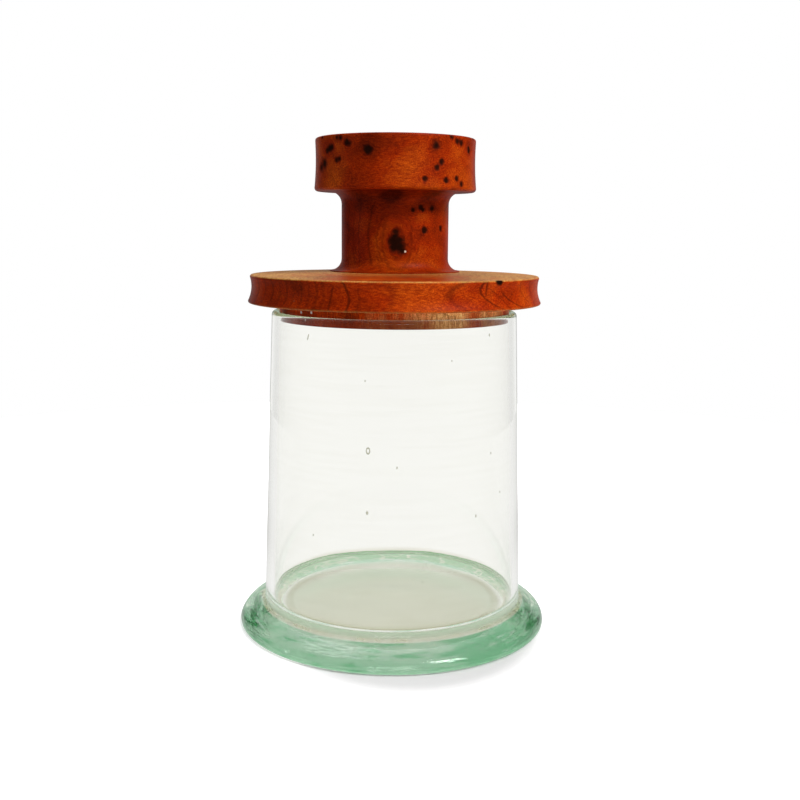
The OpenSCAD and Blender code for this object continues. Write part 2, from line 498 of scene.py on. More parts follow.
# The plug is a shallow tapered stopper of the same wood, glued under the disc. It wedges in the mouth
# and shows as a narrow strip above the rim. Its grain stands nearly upright.
(_, _, plug_z), (plug_high_r, _, disc_z) = node_corners("lid_plug")
plug_taper = 0.2
plug_low_r = plug_high_r - plug_taper
plug_edge_r = 0.5
tenon_r = 11.0
(_, _, tenon_z), _ = node_corners("lid_knob")
glue_gap = 0.1
tenon_end_gap = 0.5
mortise_r = tenon_r + glue_gap
mortise_z = tenon_z - tenon_end_gap
plug_step = 2.0
plug_cuts = 192

plug_line = rounded_section([
    (0, plug_z, 0),
    (plug_low_r, plug_z, plug_edge_r),
    (plug_high_r, disc_z, 0),
    (mortise_r, disc_z, 0),
    (mortise_r, mortise_z, 0),
    (0, mortise_z, 0),
])
split_long_edges(plug_line, plug_step)
lid_plug = piece_from(turn_section(plug_line, plug_cuts), "plug_turned")

# Paler and darker clouds that the photo shows: place in its frame, reach in mm, change of tone
# The darker ones on the left are painted shade and the paler ones on the right painted sheen
plug_tone_and_light = [
    (285, 317, 12, -0.26), (320, 318, 10, -0.14), (365, 320, 14, -0.04), (400, 320, 10, -0.02),
    (446, 318, 11, 0.40), (482, 318, 14, 0.20),
]
keep_value(lid_plug, "tone_and_painted_light", clouded(lid_plug, plug_tone_and_light, plug_high_r))

# Grain of turned wood with its fibres along X: soft blotches, growth rings, fibres and fine specks
turned_grain = bpy.data.node_groups.new("turned_grain", "ShaderNodeTree")
grain_inputs = {"Place": "NodeSocketVector", "Ring Gap": "NodeSocketFloat", "Warp": "NodeSocketFloat"}
for socket, kind in grain_inputs.items():
    turned_grain.interface.new_socket(socket, in_out="INPUT", socket_type=kind)
for socket in ("Blotch", "Ring", "Fibre", "Speck"):
    turned_grain.interface.new_socket(socket, in_out="OUTPUT", socket_type="NodeSocketFloat")
grain_in = shader_node(turned_grain, "NodeGroupInput")
grain_place = grain_in.outputs["Place"]
bend = shader_node(turned_grain, "ShaderNodeTexNoise", {
    "Vector": grain_place, "Scale": 42.0, "Detail": 0.5, "Roughness": 0.45})
bend_centred = vector_sum(turned_grain, "SUBTRACT", bend.outputs["Color"], (0.5, 0.5, 0.5))
bend_sized = shader_node(
    turned_grain, "ShaderNodeVectorMath", {0: bend_centred, "Scale": grain_in.outputs["Warp"]},
    operation="SCALE")
bent = vector_sum(turned_grain, "ADD", grain_place, bend_sized.outputs[0])
pith = vector_sum(turned_grain, "LENGTH", vector_sum(turned_grain, "MULTIPLY", bent, (0.0, 1.0, 1.0)))
ring_turn = sum_up(turned_grain, "DIVIDE", pith, grain_in.outputs["Ring Gap"])
ring_turn = sum_up(turned_grain, "MULTIPLY_ADD", noise_at(turned_grain, bent, 90.0, 2.0), 1.6, ring_turn)
ring_line = sum_up(turned_grain, "POWER", sum_up(turned_grain, "FRACT", ring_turn), 3.0)
ring_life = ranged(turned_grain, noise_at(turned_grain, bent, 55.0, 1.0), 0.35, 0.7)
fibre_run = vector_sum(turned_grain, "MULTIPLY", bent, (0.14, 1.0, 1.0))
blotch_run = vector_sum(turned_grain, "MULTIPLY", bent, (0.6, 1.0, 1.0))
shader_node(turned_grain, "NodeGroupOutput", {
    "Blotch": noise_at(turned_grain, blotch_run, 75.0, 3.0),
    "Ring": sum_up(turned_grain, "MULTIPLY", ring_line, ring_life),
    "Fibre": noise_at(turned_grain, fibre_run, 2000.0, 2.0),
    "Speck": noise_at(turned_grain, grain_place, 2300.0, 1.0),
})


def turned_wood(name, turn, shift, ring_gap, warp, rings, fibre, dark, middle, light):
    """Wood whose fibres run along X after the turn. Hands over its grain and its colour so far."""
    material, tree = empty_material(name)
    laid = shader_node(tree, "ShaderNodeMapping", {
        "Vector": own_place(tree), "Location": shift, "Rotation": turn}, vector_type="POINT").outputs[0]
    grain = shader_node(tree, "ShaderNodeGroup", node_tree=turned_grain)
    tree.links.new(laid, grain.inputs["Place"])
    grain.inputs["Ring Gap"].default_value = ring_gap * mm
    grain.inputs["Warp"].default_value = warp * mm
    # The kept tone also holds painted light and shade
    tone = sum_up(tree, "ADD", grain.outputs["Blotch"], kept_value(tree, "tone_and_painted_light"))
    ramp = shader_node(tree, "ShaderNodeValToRGB", {"Fac": tone})
    ramp.color_ramp.elements[0].position = 0.15
    ramp.color_ramp.elements[0].color = dark
    ramp.color_ramp.elements[1].position = 0.85
    ramp.color_ramp.elements[1].color = light
    ramp.color_ramp.elements.new(0.5).color = middle
    lined = mixed(tree, sum_up(tree, "MULTIPLY", grain.outputs["Ring"], rings), ramp.outputs[0], dark)
    streak = ranged(tree, grain.outputs["Fibre"], 0.32, 0.68, 1 - fibre, 1 + fibre)
    speck = ranged(tree, grain.outputs["Speck"], 0.32, 0.68, 0.80, 1.20)
    life = sum_up(tree, "MULTIPLY", streak, speck)
    # Brighter fibres are also more golden
    life_colour = shader_node(tree, "ShaderNodeCombineColor", {
        0: life, 1: sum_up(tree, "POWER", life, 1.5), 2: sum_up(tree, "POWER", life, 1.8)}).outputs[0]
    colour = mixed(tree, 1.0, lined, life_colour, "MULTIPLY")
    return material, tree, grain, colour


def figured(tree, colour, dark, lines, radius):
    """Draws growth lines on a post of that radius in mm. Each is an arc through three places of the
    photo's frame, with its width in mm and its strength."""
    place = own_place(tree)
    parts = shader_node(tree, "ShaderNodeSeparateXYZ", {0: place})
    front = sum_up(tree, "MULTIPLY", parts.outputs["Y"], -1.0)
    around = sum_up(tree, "MULTIPLY", sum_up(tree, "ARCTAN2", parts.outputs["X"], front), radius)
    wander = noise_at(tree, place, 260.0, 2.0)
    around = sum_up(tree, "MULTIPLY_ADD", wander, 1.4, sum_up(tree, "SUBTRACT", around, 0.7))
    height = sum_up(tree, "DIVIDE", parts.outputs["Z"], mm)
    mark = 0.0
    for *pixels, width, strength in lines:
        spots = [seen_on_post(px, py, radius) / mm for px, py in pixels]
        levels = [spot.z for spot in spots]
        arcs = [math.atan2(spot.x, -spot.y) * radius for spot in spots]
        bow, lean, start = np.polyfit(levels, arcs, 2)
        course = sum_up(tree, "MULTIPLY_ADD", height, bow, lean)
        course = sum_up(tree, "MULTIPLY_ADD", course, height, start)
        past_end = off_by(tree, height, (levels[0] + levels[-1]) / 2)
        reach = abs(levels[0] - levels[-1]) / 2
        within = ranged(tree, past_end, reach, reach + 2.5, strength, 0.0)
        line = ranged(tree, off_by(tree, around, course), 0.0, width, 1.0, 0.0)
        mark = sum_up(tree, "MAXIMUM", mark, sum_up(tree, "MULTIPLY", line, within))
    return mixed(tree, mark, colour, dark)


def spotted(tree, colour, spot_colour, place, reach, edge):
    """Puts one round spot on a material: its place, its reach in mm and how much of that is soft."""
    away = vector_sum(tree, "DISTANCE", own_place(tree), place)
    return mixed(tree, ranged(tree, away, reach * (1 - edge) * mm, reach * mm, 1.0, 0.0), colour, spot_colour)


satin = 0.42
varnish_shine = 0.04
fibre_depth = 0.3


def varnish(tree, colour, height, strength, roughness=satin):
    """Ends a wood material with a thin satin varnish over the grain."""
    bump = shader_node(
        tree, "ShaderNodeBump", {"Strength": strength, "Distance": fibre_depth * mm, "Height": height})
    surface = shader_node(tree, "ShaderNodeBsdfPrincipled", {
        "Base Color": colour,
        "Roughness": roughness,
        "Specular IOR Level": varnish_shine,
        "Normal": bump.outputs[0],
    })
    tree.links.new(surface.outputs[0], tree.nodes["Material Output"].inputs["Surface"])


plug_wood, plug_tree, plug_grain, plug_colour = turned_wood(
    "plug_wood", turn=(0, math.pi / 2, 0), shift=(0.30, 0.02, 0),
    ring_gap=5.0, warp=6.0, rings=0.5, fibre=0.24,
    dark=(0.130, 0.018, 0.002, 1), middle=(0.600, 0.055, 0.002, 1), light=(1.000, 0.500, 0.170, 1))

# Below the rim, inside the jar, the wood is painted darker as shade, less where it is pale
plug_shade_full_z = 142.8
plug_shade_end_z = 144.2
plug_shade_brown = (0.170, 0.018, 0.001, 1)
plug_height = shader_node(plug_tree, "ShaderNodeSeparateXYZ", {0: own_place(plug_tree)}).outputs["Z"]
plug_painted_shade = sum_up(
    plug_tree, "MULTIPLY", ranged(plug_tree, plug_height, plug_shade_full_z * mm, plug_shade_end_z * mm, 0.75, 0.0),
    ranged(plug_tree, kept_value(plug_tree, "tone_and_painted_light"), 0.05, 0.55, 1.0, 0.25))
plug_colour = mixed(plug_tree, plug_painted_shade, plug_colour, plug_shade_brown)

# Painted white glints, by their places in the photo's frame
plug_glints = [(301.1, 312.4), (311.2, 312.6), (307.5, 319.8)]
glint_white = (0.950, 0.930, 0.880, 1)
for px, py in plug_glints:
    plug_colour = spotted(plug_tree, plug_colour, glint_white, seen_on_post(px, py, plug_high_r), 0.75, 0.5)
varnish(plug_tree, plug_colour, plug_grain.outputs["Fibre"], 0.15)
lid_plug.data.materials.append(plug_wood)
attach(lid_plug, "lid")
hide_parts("lid_plug")


# The disc is turned from a plain-sawn board, wider than the jar. Its edge is hollowed with a gouge
# between two crisp lips, its top rises slightly to the knob, and it is varnished all over.
_, (disc_r, _, seat_z) = node_corners("lid_disc")
disc_setback = 1.1
disc_top_r = disc_r - disc_setback
disc_crown = 1.6
disc_top_z = seat_z - disc_crown
knob_foot_r = 29.0
lip_r = 0.8
disc_hollow = 1.05
disc_step = 1.0
disc_cuts = 288


def hollow_side(line, low, high, depth, least_r):
    """Draws in the side between two heights, most in the middle, as a gouge leaves it."""
    for point in line.verts:
        share = (point.co.z / mm - low) / (high - low)
        if 0 < share < 1 and point.co.x > least_r * mm:
            point.co.x -= 4 * share * (1 - share) * depth * mm


disc_line = rounded_section([
    (mortise_r, disc_z, 0),
    (disc_r, disc_z, lip_r),
    (disc_top_r, disc_top_z, lip_r),
    (knob_foot_r, seat_z, 0),
    (mortise_r, seat_z, 0),
], closed=True)
split_long_edges(disc_line, disc_step)
hollow_side(disc_line, disc_z + lip_r, disc_top_z - lip_r, disc_hollow, disc_top_r - 1)
lid_disc = piece_from(turn_section(disc_line, disc_cuts), "disc_turned")

disc_side_r = disc_r - 1
# Clouds on the side: place in the photo's frame, reach in mm, change of tone; darker on the left as painted
# shade, paler on the right as painted light
disc_tone_and_light = [
    (262, 292, 14, -0.08), (300, 294, 12, -0.12), (330, 294, 9, -0.10), (375, 297, 7, 0.02),
    (410, 296, 16, 0.12), (480, 298, 14, 0.10), (520, 294, 10, 0.08), (452, 292, 5, -0.08),
    (480, 286, 6, -0.16),
]
disc_lines = [
    ((343.5, 284), (348.0, 297), (346.7, 311), 1.0, 0.78),
    ((331.5, 290), (329.8, 301), (329.6, 311), 0.9, 0.65),
    ((322, 282), (323, 296), (321.5, 309), 1.1, 0.28), ((315, 282), (316, 294), (314.5, 308), 1.1, 0.36),
    ((307, 282), (308, 294), (306.5, 307), 1.0, 0.28), ((300, 282), (301, 293), (299.5, 305), 1.1, 0.38),
    ((292, 281), (293, 292), (291.5, 304), 1.0, 0.30), ((285, 281), (286, 292), (284.5, 303), 1.1, 0.38),
    ((278, 281), (279, 291), (277.5, 302), 1.0, 0.32), ((271, 280), (272, 290), (270.5, 300), 1.2, 0.46),
    ((264, 280), (264.5, 289), (263.5, 298), 1.1, 0.36), ((257, 280), (257.5, 288), (256.5, 296), 1.2, 0.42),
    ((358, 292), (359, 300), (357, 310), 0.9, 0.35), ((388, 284), (394, 296), (386, 312), 3.0, 0.20),
    ((464, 283), (454, 290), (450, 298), 3.2, 0.50), ((450, 296), (455, 304), (464, 310), 2.4, 0.22),
    ((484, 283), (482.5, 294), (496, 306), 1.2, 0.80), ((487.5, 283), (487.6, 288), (487.3, 293), 0.9, 0.80),
    ((505, 295), (511, 301), (518.5, 306), 1.0, 0.85), ((492, 290), (502, 299), (508, 307), 0.9, 0.42),
    ((521, 281), (522, 290), (526, 299), 0.9, 0.35), ((530, 280), (531, 289), (533, 297), 0.9, 0.40),
]
keep_value(lid_disc, "tone_and_painted_light", clouded(lid_disc, disc_tone_and_light, disc_side_r))
disc_dark = (0.070, 0.006, 0.0006, 1)
disc_wood, disc_tree, disc_grain, disc_colour = turned_wood(
    "disc_wood", turn=(0, 0, 0), shift=(0.0, 0.0, -0.110), ring_gap=4.2, warp=5.0, rings=0.30, fibre=0.26,
    dark=disc_dark, middle=(0.340, 0.024, 0.0006, 1), light=(0.520, 0.070, 0.003, 1))
disc_colour = figured(disc_tree, disc_colour, disc_dark, disc_lines, disc_side_r)

# The top is painted pale as sheen, least in front of the knob, and both lips get painted highlight lines
sheen_tan = (0.640, 0.345, 0.085, 1)
sheen_front_y = -52
sheen_back_y = -10
sheen_in_x = 12
sheen_out_x = 46
sheen_low_z = disc_top_z - 0.7
sheen_high_z = disc_top_z - 0.1
lip_sheen_in_r = disc_top_r - 1.4
lip_sheen_out_r = disc_top_r - 0.6
lip_sheen_in_x = 26
lip_sheen_out_x = 40
low_lip_z = disc_z + 1.1
disc_place = own_place(disc_tree)
disc_parts = shader_node(disc_tree, "ShaderNodeSeparateXYZ", {0: disc_place})
disc_height = disc_parts.outputs["Z"]
disc_aside = sum_up(disc_tree, "ABSOLUTE", disc_parts.outputs["X"])
disc_behind = ranged(disc_tree, disc_parts.outputs["Y"], sheen_front_y * mm, sheen_back_y * mm)
disc_beside = ranged(disc_tree, disc_aside, sheen_in_x * mm, sheen_out_x * mm)
disc_open = sum_up(disc_tree, "MAXIMUM", disc_beside, disc_behind)
disc_top_sheen = sum_up(disc_tree, "MULTIPLY_ADD", disc_open, 0.88, 0.04)
disc_reach = axis_reach(disc_tree, disc_place)
disc_rim = ranged(disc_tree, disc_reach, lip_sheen_in_r * mm, lip_sheen_out_r * mm)
disc_rim_life = ranged(disc_tree, disc_aside, lip_sheen_in_x * mm, lip_sheen_out_x * mm, 0.95, 0.45)
disc_lip_sheen = sum_up(disc_tree, "MULTIPLY", disc_rim, disc_rim_life)
disc_top = ranged(disc_tree, disc_height, sheen_low_z * mm, sheen_high_z * mm)
disc_sheen_on_top = sum_up(disc_tree, "MULTIPLY", disc_top, sum_up(disc_tree, "MAXIMUM", disc_top_sheen, disc_lip_sheen))
disc_low_lip_sheen = ranged(disc_tree, disc_height, disc_z * mm, low_lip_z * mm, 0.40, 0.0)
disc_painted_sheen = sum_up(disc_tree, "MAXIMUM", disc_sheen_on_top, disc_low_lip_sheen)
# Fine streaky noise breaks up the painted sheen
disc_sheen_break_place = shader_node(
    disc_tree, "ShaderNodeMapping", {"Vector": disc_place, "Scale": (1300.0, 330.0, 1300.0)}).outputs[0]
disc_sheen_break = sum_up(
    disc_tree, "MULTIPLY", ranged(disc_tree, noise_at(disc_tree, disc_sheen_break_place, 1.0, 2.0), 0.36, 0.60, 0.50, 1.0),
    ranged(disc_tree, noise_at(disc_tree, disc_sheen_break_place, 0.30, 1.0), 0.36, 0.60, 0.72, 1.0))
disc_painted_sheen = sum_up(disc_tree, "MULTIPLY", disc_painted_sheen, disc_sheen_break)
disc_colour = mixed(disc_tree, disc_painted_sheen, disc_colour, sheen_tan)

# One dark pip breaks the upper lip, and a painted glint sits on the side: places in the photo's frame
lip_pip_side = (500.5, 281.3)
lip_pip_top = (500.8, 280.9)
side_glint = (293.8, 300.8)
lip_pip_brown = (0.012, 0.003, 0.001, 1)
side_glint_red = (0.340, 0.055, 0.020, 1)
for colour, place, reach, edge in (
        (lip_pip_brown, seen_on_post(*lip_pip_side, disc_top_r), 2.2, 0.6),
        (lip_pip_brown, seen_on_level(*lip_pip_top, disc_top_z), 2.8, 0.5),
        (side_glint_red, seen_on_post(*side_glint, disc_side_r), 0.7, 0.8)):
    disc_colour = spotted(disc_tree, disc_colour, colour, place, reach, edge)
varnish(disc_tree, disc_colour, disc_grain.outputs["Fibre"], 0.12)
lid_disc.data.materials.append(disc_wood)
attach(lid_disc, "lid")
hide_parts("lid_disc")


# The knob is turned from one block of burr wood: a flat cap, a thick neck with a cove at both ends,
# and a tenon glued down into disc and plug. Small dark pips and one knot break its surface.
_, (cap_r, _, knob_top_z) = node_corners("lid_knob")
cap_setback = 0.5
cap_top_r = cap_r - cap_setback
cap_crown = 0.8
cap_top_z = knob_top_z - cap_crown
cap_h = 22.8
cap_z = cap_top_z - cap_h
cap_edge_r = 1.5
cap_top_edge_r = 0.9
cap_hollow = 0.4
cap_cove = 5.3
neck_r = 23.8
foot_land = 0.4
foot_cove = 5.15
shown_z = seat_z + foot_land / 2
cap_step = 0.6
neck_step = 1.2
tenon_step = 4.0
knob_cuts = 360

knob_line = rounded_section([
    (0, tenon_z, 0),
    (tenon_r, tenon_z, 0),
    (tenon_r, seat_z, 0),
    (knob_foot_r, seat_z, 0),
    (knob_foot_r, seat_z + foot_land, 0),
    (neck_r, seat_z + foot_land, foot_cove),
    (neck_r, cap_z, cap_cove),
    (cap_r, cap_z, cap_edge_r),
    (cap_top_r, cap_top_z, cap_top_edge_r),
    (0, cap_top_z, 0),
])
split_long_edges(knob_line, cap_step, neck_r - 1, shown_z)
split_long_edges(knob_line, neck_step, 0, shown_z)
split_long_edges(knob_line, tenon_step)
hollow_side(knob_line, cap_z + cap_edge_r, cap_top_z - cap_edge_r, cap_hollow, cap_top_r - 1)
crown_face(knob_line, cap_top_z, cap_top_r - cap_edge_r, cap_crown)
knob = turn_section(knob_line, knob_cuts)

# Pips that the photo shows: place in its frame, size in mm, soft edge in mm
cap_side_r = cap_r - 0.4
cap_pips = [
    (326.5, 150.3, 2.6, 0.8), (329, 148.5, 3.2, 0.8), (331.5, 146.8, 2.6, 0.8), (346.5, 142, 3.0, 0.9),
    (349, 143, 2.0, 0.9), (367.5, 149.5, 3.8, 0.6), (340, 137.8, 2.2, 0.8), (336.5, 137.5, 2.0, 0.8),
    (336, 160, 2.4, 0.7), (338.5, 158.8, 2.4, 0.7), (324, 163.5, 4.0, 1.4), (321, 167.5, 3.2, 1.4),
    (322, 137, 1.6, 0.5), (436.5, 145, 3.2, 1.3), (442, 161.5, 2.8, 0.6), (437.5, 167.5, 2.5, 0.5),
    (425, 178.5, 2.5, 0.5), (446, 180.3, 2.7, 0.5), (456.5, 178.5, 2.4, 0.5), (461, 184, 2.6, 0.6),
    (457.5, 141, 2.4, 0.5), (461.5, 143, 2.8, 0.6), (469, 148.5, 2.2, 0.5), (469.5, 151, 2.2, 0.5),
    (452, 136.8, 2.0, 0.6), (473.5, 138.5, 1.6, 0.5),
]
neck_pips = [
    (413, 210, 2.1, 0.5), (421, 207.5, 2.5, 0.6), (423, 210, 1.8, 0.5), (432, 208.5, 2.5, 0.7),
    (424.5, 230, 2.9, 0.4), (440.5, 228, 2.2, 0.6), (450, 194.5, 2.8, 0.7),
]
# The dark knot in the neck is a row of marks that run into each other, with growth lines all round
knot_marks = [
    (395.8, 232, 2.8, 0.9), (395, 236.5, 3.2, 1.2), (393.5, 242, 4.8, 1.3), (398.5, 241, 4.2, 1.5),
    (394, 246.5, 4.4, 1.4), (399.5, 246.5, 4.8, 1.4), (402, 250.5, 3.2, 1.2),
]
knot_pixel = (397, 243)
# A pale painted glint at the knot's edge, by its place in the photo's frame
knot_glint = (405.3, 251.6)
knot_squash = np.array([1, 1, 0.55])


def at_angle(angle, reach, height):
    """Place at an angle round the axis, a reach and a height, in mm."""
    return Vector((math.cos(angle) * reach * mm, math.sin(angle) * reach * mm, height * mm))


# The back and the top have pips of the same kind
back_cap_pips = 26
back_neck_pips = 9
top_pips = 16
pips = [(seen_on_post(px, py, cap_side_r), size, soft) for px, py, size, soft in cap_pips]
pips += [(seen_on_post(px, py, neck_r), size, soft) for px, py, size, soft in neck_pips]
chance = random.Random(11)
for _ in range(back_cap_pips):
    angle = math.radians(chance.uniform(15, 165))
    height = chance.uniform(cap_z + 3, cap_top_z - 2)
    pips.append((at_angle(angle, cap_r, height), chance.uniform(2.0, 3.8), chance.uniform(0.4, 0.8)))
for _ in range(back_neck_pips):
    angle = math.radians(chance.uniform(10, 170))
    height = chance.uniform(seat_z + 12, cap_z - 8)
    pips.append((at_angle(angle, neck_r, height), chance.uniform(1.8, 3.0), chance.uniform(0.4, 0.8)))
for _ in range(top_pips):
    angle = math.radians(chance.uniform(0, 360))
    reach = cap_top_r * math.sqrt(chance.uniform(0.02, 0.85))
    pips.append((at_angle(angle, reach, cap_top_z + 0.4), chance.uniform(2.0, 3.8), chance.uniform(0.4, 0.9)))
pips += [(seen_on_post(px, py, neck_r), size, soft) for px, py, size, soft in knot_marks]

# Each pip is a shallow dark pit with uneven edges. The wood is darker round it and its grain bends.
pip_depth = 0.12
pip_pitch = 620
pip_uneven = 0.24
halo_depth = 0.14
halo_reach = 0.9
bend_share = 0.75
bend_reach = 1.3
knob_places = np.array([point.co for point in knob.verts])
knob_uneven = np.array([noise.noise(point.co * pip_pitch) for point in knob.verts])
pip_mark = np.zeros(len(knob_places))
pip_shade = np.zeros(len(knob_places))
grain_shift = np.zeros_like(knob_places)
for centre, size, soft in pips:
    away = knob_places - np.array(centre)
    distance = np.linalg.norm(away, axis=1) * (1 + pip_uneven * knob_uneven)
    share = np.clip((size * mm / 2 + soft * mm - distance) / (2 * soft * mm), 0, 1)
    pip_mark = np.maximum(pip_mark, share * share * (3 - 2 * share))
    pip_shade -= halo_depth * np.exp(-((distance / (halo_reach * size * mm)) ** 2))
    grain_shift -= away * (bend_share * np.exp(-((distance / (bend_reach * size * mm)) ** 2)))[:, None]
knot_away = (knob_places - np.array(seen_on_post(*knot_pixel, neck_r))) * knot_squash
for point, pip in zip(knob.verts, pip_mark):
    point.co -= point.normal * mm * pip_depth * pip
lid_knob = piece_from(knob, "knob_turned")

# Cap clouds: tone, with painted light on the right and painted shade on the left: place in the photo's frame,
# reach in mm, change
cap_tone_and_light = [
    (320, 160, 9, 0.16), (333, 178, 9, 0.20), (350, 166, 6, -0.08), (383, 165, 6, -0.02),
    (405, 160, 9, 0.08), (455, 163, 10, 0.20), (470, 178, 7, 0.16), (436, 146, 4, -0.16),
    (395, 139, 10, -0.02), (440, 184, 7, 0.06), (335, 150, 7, 0.08),
]
# Neck clouds: tone, with a painted shadow right under the cap and painted light on the left of the foot
neck_tone_and_light = [
    (345, 230, 7, -0.10), (366, 230, 8, 0.00), (392, 210, 12, 0.14), (424, 219, 5, 0.18),
    (395, 193, 7, -0.50), (360, 193, 8, -0.40), (430, 193, 8, -0.40), (442, 215, 5, 0.06),
    (412, 240, 5, -0.16), (428, 250, 7, 0.10), (395, 262, 10, 0.10), (378, 245, 7, 0.10),
    (340, 266, 6, 0.40),
]
neck_lines = [
    ((373, 207), (368.5, 233), (371, 262), 1.0, 0.50), ((361, 207), (358.5, 235), (360, 262), 0.8, 0.35),
    ((355, 207), (353.5, 235), (355, 262), 0.8, 0.25), ((349.5, 207), (348, 235), (349, 262), 0.8, 0.35),
    ((383, 216), (377, 236), (381, 258), 1.0, 0.35), ((436, 238), (443, 246), (448, 254), 0.9, 0.25),
]
knob_tone_and_light = clouded(lid_knob, cap_tone_and_light, cap_side_r) + clouded(lid_knob, neck_tone_and_light, neck_r) + pip_shade
keep_value(lid_knob, "tone_and_painted_light", knob_tone_and_light)
keep_value(lid_knob, "pip", pip_mark)
keep_value(lid_knob, "knot", np.linalg.norm(knot_away, axis=1) / mm)
lid_knob.data.attributes.new("shift", "FLOAT_VECTOR", "POINT").data.foreach_set("vector", grain_shift.ravel())

knob_dark = (0.065, 0.005, 0.0006, 1)
pip_brown = (0.010, 0.0022, 0.0006, 1)
knot_glint_tan = (0.900, 0.780, 0.640, 1)
knob_wood, knob_tree, knob_grain, knob_colour = turned_wood(
    "knob_wood", turn=(0, 0, 0), shift=(0, 0.004, -0.185), ring_gap=6.0, warp=7.0, rings=0.30, fibre=0.24,
    dark=knob_dark, middle=(0.300, 0.021, 0.0006, 1), light=(0.480, 0.068, 0.003, 1))
knob_colour = figured(knob_tree, knob_colour, knob_dark, neck_lines, neck_r)
knob_shift = shader_node(knob_tree, "ShaderNodeAttribute", attribute_name="shift").outputs["Vector"]
knob_laid = knob_grain.inputs["Place"].links[0].from_socket
knob_tree.links.new(vector_sum(knob_tree, "ADD", knob_laid, knob_shift), knob_grain.inputs["Place"])
knot_r = 3.0
knot_rings_r = 14.0
knot_pace = 2.1
knot_waver = 6.0
knot_reach = kept_value(knob_tree, "knot")
knot_sway = sum_up(knob_tree, "MULTIPLY_ADD", knob_grain.outputs["Blotch"], knot_waver, knot_reach)
knot_wave = sum_up(knob_tree, "SINE", sum_up(knob_tree, "MULTIPLY", knot_sway, knot_pace))
knot_rings = sum_up(
    knob_tree, "MULTIPLY", ranged(knob_tree, knot_wave, 0.1, 1.0),
    ranged(knob_tree, knot_reach, knot_r, knot_rings_r, 0.40, 0.0))
knob_colour = mixed(knob_tree, knot_rings, knob_colour, knob_dark)
pip_mask = kept_value(knob_tree, "pip")
knob_colour = mixed(knob_tree, sum_up(knob_tree, "MULTIPLY", pip_mask, 0.94), knob_colour, pip_brown)
knob_colour = spotted(knob_tree, knob_colour, knot_glint_tan, seen_on_post(*knot_glint, neck_r), 0.6, 0.7)
knob_gloss = ranged(knob_tree, pip_mask, 0.0, 1.0, satin, 0.75)
varnish(knob_tree, knob_colour, knob_grain.outputs["Fibre"], 0.12, knob_gloss)
lid_knob.data.materials.append(knob_wood)
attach(lid_knob, "lid")
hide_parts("lid_knob")


# The jar stands on a plain white table top that fades into the white backdrop. It is a sheet of
# matt board, a hair below the glass, and keeps the jar's soft shadow.
table_r = 620
table_drop = 0.3
table_grey = (0.8, 0.8, 0.8, 1)
shaded_olive = (0.70, 0.71, 0.59, 1)

table = bmesh.new()
bmesh.ops.create_circle(
    table, cap_ends=True, segments=96, radius=table_r * mm,
    matrix=Matrix.Translation((0, 0, -table_drop * mm)))
table_top = piece_from(table, "table_top")
table_white, table_tree = empty_material("table_white")
table_place = own_place(table_tree)
table_reach = vector_sum(table_tree, "LENGTH", table_place)
table_y = shader_node(table_tree, "ShaderNodeSeparateXYZ", {0: table_place}).outputs["Y"]
table_path = shader_node(table_tree, "ShaderNodeLightPath")

# The camera sees white board, except in an oval round the jar and a thin ring at the foot, where its glow is
# dimmed as a painted shadow over the real one
shade_centre = Vector((8, -10, 0)) * mm
shade_squash = (1.0, 0.8, 0.0)
shade_in_r = 53.0
shade_out_r = 72.5
touch_in_r = foot_r + 0.1
touch_out_r = foot_r + 2.1
shade_off = vector_sum(table_tree, "SUBTRACT", table_place, shade_centre)
shade_reach = vector_sum(table_tree, "LENGTH", vector_sum(table_tree, "MULTIPLY", shade_off, shade_squash))
table_shadow_fade = sum_up(
    table_tree, "MINIMUM", ranged(table_tree, shade_reach, shade_in_r * mm, shade_out_r * mm, 0.10, 1.0),
    ranged(table_tree, table_reach, touch_in_r * mm, touch_out_r * mm, 0.55, 1.0))
table_glow = sum_up(table_tree, "MULTIPLY", table_path.outputs["Is Camera Ray"], table_shadow_fade)
table_matt = shader_node(table_tree, "ShaderNodeBsdfDiffuse", {"Color": table_grey})
table_light = shader_node(table_tree, "ShaderNodeEmission", {"Color": white, "Strength": table_glow})
table_sum = shader_node(
    table_tree, "ShaderNodeAddShader", {0: table_matt.outputs[0], 1: table_light.outputs[0]})

# Glass and varnish mirror a table that is paler near the jar and behind it
behind_y = 100
far_in_r = 150
far_out_r = 270
near_in_r = 80
near_out_r = 260
front_dark_y = -600
front_pale_y = -100
table_behind = ranged(table_tree, table_y, 0.0, behind_y * mm)
table_far = ranged(table_tree, table_reach, far_in_r * mm, far_out_r * mm, 0.0, 0.45)
table_near = ranged(table_tree, table_reach, near_in_r * mm, near_out_r * mm, 0.70, 0.10)
table_mirror = sum_up(table_tree, "MULTIPLY_ADD", table_behind, table_far, table_near)
table_inside = ranged(table_tree, table_y, front_dark_y * mm, front_pale_y * mm, 0.30, 0.95)
table_level = shader_node(table_tree, "ShaderNodeMix", {
    0: table_path.outputs["Is Transmission Ray"], 2: table_mirror, 3: table_inside}).outputs[0]
table_shown = shader_node(table_tree, "ShaderNodeEmission", {"Color": white, "Strength": table_level})
table_mix = shader_node(table_tree, "ShaderNodeMixShader", {
    0: table_path.outputs["Is Glossy Ray"], 1: table_sum.outputs[0], 2: table_shown.outputs[0]})

